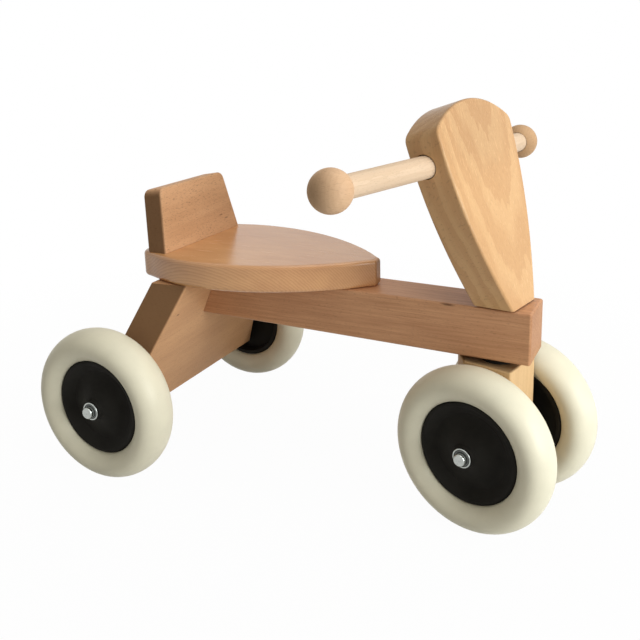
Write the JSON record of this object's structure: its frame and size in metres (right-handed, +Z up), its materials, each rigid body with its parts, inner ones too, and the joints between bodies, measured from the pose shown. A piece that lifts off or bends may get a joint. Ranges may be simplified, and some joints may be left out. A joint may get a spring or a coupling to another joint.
{
  "type": "wooden ride-on tricycle",
  "caption": "Wooden ride-on with a shield-shaped seat, low backrest, leaning rear leg, a teardrop steering stem with ball-ended grips, and cream tyres on black hubs.",
  "frame": {"origin": "on the floor, on the centre line, midway between the front and rear axles", "axes": "+X forward, +Y to the rider's left, +Z up from the floor"},
  "size_m": [0.5118, 0.3453, 0.3745],
  "materials": {
    "oiled_beech": "oiled, satin",
    "pale_beech": "bare, matte",
    "cream_rubber": "smooth, satin",
    "black_plastic": "matte",
    "bright_steel": "bright zinc"
  },
  "bodies": {
    "frame": {"seat": "oiled_beech", "backrest": "oiled_beech", "main_beam": "oiled_beech", "rear_leg": "oiled_beech", "rear_axle": "bright_steel", "beam_pin_right": "pale_beech", "beam_pin_left": "pale_beech", "leg_pin_right": "pale_beech", "leg_pin_left": "pale_beech", "back_pin_right": "pale_beech", "back_pin_left": "pale_beech", "seat_screw_rear": "bright_steel", "seat_screw_front": "bright_steel", "steering_bush": "black_plastic", "rear_right_spacer": "black_plastic", "rear_left_spacer": "black_plastic", "rear_right_cap": "bright_steel", "rear_left_cap": "bright_steel"},
    "steering": {"steering_stem": "oiled_beech", "grip_right": "pale_beech", "grip_left": "pale_beech", "ball_right": "pale_beech", "ball_left": "pale_beech", "front_block": "oiled_beech", "front_axle": "bright_steel", "steering_pin": "bright_steel", "block_lock_pin": "bright_steel", "stem_lock_pin": "bright_steel", "thrust_washer": "black_plastic", "stem_washer": "black_plastic", "front_right_spacer": "black_plastic", "front_left_spacer": "black_plastic", "front_right_cap": "bright_steel", "front_left_cap": "bright_steel"},
    "wheel_rear_right": {"rear_right_tyre": "cream_rubber", "rear_right_hub": "black_plastic"},
    "wheel_rear_left": {"rear_left_tyre": "cream_rubber", "rear_left_hub": "black_plastic"},
    "wheel_front_right": {"front_right_tyre": "cream_rubber", "front_right_hub": "black_plastic"},
    "wheel_front_left": {"front_left_tyre": "cream_rubber", "front_left_hub": "black_plastic"}
  },
  "joints": [
    {"name": "steer", "type": "hinge", "parent": "frame", "child": "steering", "pos_m": [0.17665, 0, 0.075], "axis": [-0.0359, 0, 0.9994], "range_deg": [-27.65, 52.35]},
    {"name": "roll_rear_right", "type": "hinge", "parent": "frame", "child": "wheel_rear_right", "pos_m": [-0.17665, -0.12817, 0.075], "axis": [0, 1, 0], "continuous": true},
    {"name": "roll_rear_left", "type": "hinge", "parent": "frame", "child": "wheel_rear_left", "pos_m": [-0.17665, 0.12817, 0.075], "axis": [0, 1, 0], "continuous": true},
    {"name": "roll_front_right", "type": "hinge", "parent": "steering", "child": "wheel_front_right", "pos_m": [0.1669, -0.04455, 0.075], "axis": [0.2139, 0.9769, 0], "continuous": true},
    {"name": "roll_front_left", "type": "hinge", "parent": "steering", "child": "wheel_front_left", "pos_m": [0.1864, 0.04455, 0.075], "axis": [0.2139, 0.9769, 0], "continuous": true}
  ]
}
